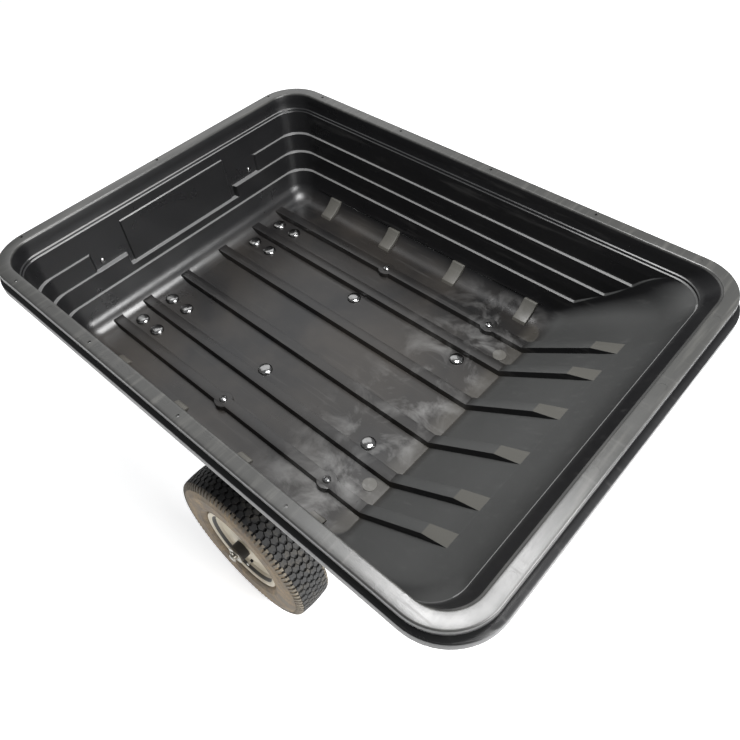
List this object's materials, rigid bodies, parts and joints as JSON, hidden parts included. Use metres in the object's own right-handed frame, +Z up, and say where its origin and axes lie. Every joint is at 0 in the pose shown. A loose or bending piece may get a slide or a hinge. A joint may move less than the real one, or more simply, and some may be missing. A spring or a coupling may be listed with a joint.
{
  "type": "tow-behind dump cart",
  "caption": "Tow-behind yard cart: a stepped, ribbed plastic tub that tips back about the axle of a two-wheeled steel chassis with a drawbar hitch.",
  "frame": {"origin": "on the ground, at the middle of the bounding box in plan", "axes": "+X forward towards the hitch, +Y to the cart's left, +Z up"},
  "size_m": [1.7712, 0.946, 0.755],
  "materials": {
    "tub_plastic": "black moulded polyethylene, satin, dusty",
    "painted_steel": "black powder coat",
    "zinc": "bright zinc plate",
    "wheel_paint": "light beige paint, dusty",
    "tyre_rubber": "dusty brown-black rubber",
    "bearing_plastic": "dark grey moulded",
    "rubber": "black rubber"
  },
  "bodies": {
    "chassis": {"axle": "zinc", "axle_spacer_left": "zinc", "axle_spacer_right": "zinc", "axle_washer_left": "zinc", "axle_washer_right": "zinc", "axle_cotter_left": "zinc", "axle_cotter_right": "zinc", "tongue": "painted_steel", "tongue_brace_left": "painted_steel", "tongue_brace_right": "painted_steel", "brace_bolt": "zinc", "hitch_strap_upper": "painted_steel", "hitch_strap_lower": "painted_steel", "hitch_bolt_rear": "zinc", "hitch_bolt_front": "zinc", "latch_stand": "painted_steel", "stand_bolt_rear": "zinc", "stand_bolt_front": "zinc", "latch_pivot_bolt": "zinc"},
    "bed": {"tub": "tub_plastic", "axle_bracket_left": "painted_steel", "axle_bracket_right": "painted_steel", "front_crossbar": "painted_steel", "front_strap_left": "painted_steel", "front_strap_right": "painted_steel", "latch_striker": "painted_steel", "front_bolt_left_inner_front": "zinc", "front_bolt_left_inner_rear": "zinc", "front_bolt_left_outer_front": "zinc", "front_bolt_left_outer_rear": "zinc", "front_bolt_right_inner_front": "zinc", "front_bolt_right_inner_rear": "zinc", "front_bolt_right_outer_front": "zinc", "front_bolt_right_outer_rear": "zinc", "middle_bolt_left_front": "zinc", "middle_bolt_left_rear": "zinc", "middle_bolt_right_front": "zinc", "middle_bolt_right_rear": "zinc", "boss_bolt_left_front": "zinc", "boss_bolt_left_rear": "zinc", "boss_bolt_right_front": "zinc", "boss_bolt_right_rear": "zinc", "wall_bolt_left": "zinc", "wall_bolt_right": "zinc"},
    "wheel_left": {"tyre_left": "tyre_rubber", "wheel_rim_left": "wheel_paint", "hub_bearing_left_outer": "bearing_plastic", "hub_bearing_left_inner": "bearing_plastic", "valve_stem_left": "rubber"},
    "wheel_right": {"tyre_right": "tyre_rubber", "wheel_rim_right": "wheel_paint", "hub_bearing_right_outer": "bearing_plastic", "hub_bearing_right_inner": "bearing_plastic", "valve_stem_right": "rubber"},
    "latch": {"latch_lever": "painted_steel", "latch_grip": "rubber", "latch_spring": "zinc"},
    "pin": {"hitch_pin": "zinc", "hair_cotter": "zinc"}
  },
  "joints": [
    {"name": "bed_tip", "type": "hinge", "parent": "chassis", "child": "bed", "pos_m": [-0.25414, 0, 0.204], "axis": [0, -1, 0], "range_deg": [0, 50]},
    {"name": "wheel_left_spin", "type": "hinge", "parent": "chassis", "child": "wheel_left", "pos_m": [-0.25414, 0.394, 0.204], "axis": [0, 1, 0], "continuous": true},
    {"name": "wheel_right_spin", "type": "hinge", "parent": "chassis", "child": "wheel_right", "pos_m": [-0.25414, -0.394, 0.204], "axis": [0, 1, 0], "continuous": true},
    {"name": "latch_swing", "type": "hinge", "parent": "chassis", "child": "latch", "pos_m": [0.33586, 0, 0.345], "axis": [0, 1, 0], "range_deg": [0, 20], "stiffness_Nm_per_rad": 0.6, "springref_deg": -60.16},
    {"name": "hitch_pin_lift", "type": "slide", "parent": "chassis", "child": "pin", "axis": [-0.061, 0, 0.9981], "range_m": [0, 0.008]}
  ]
}
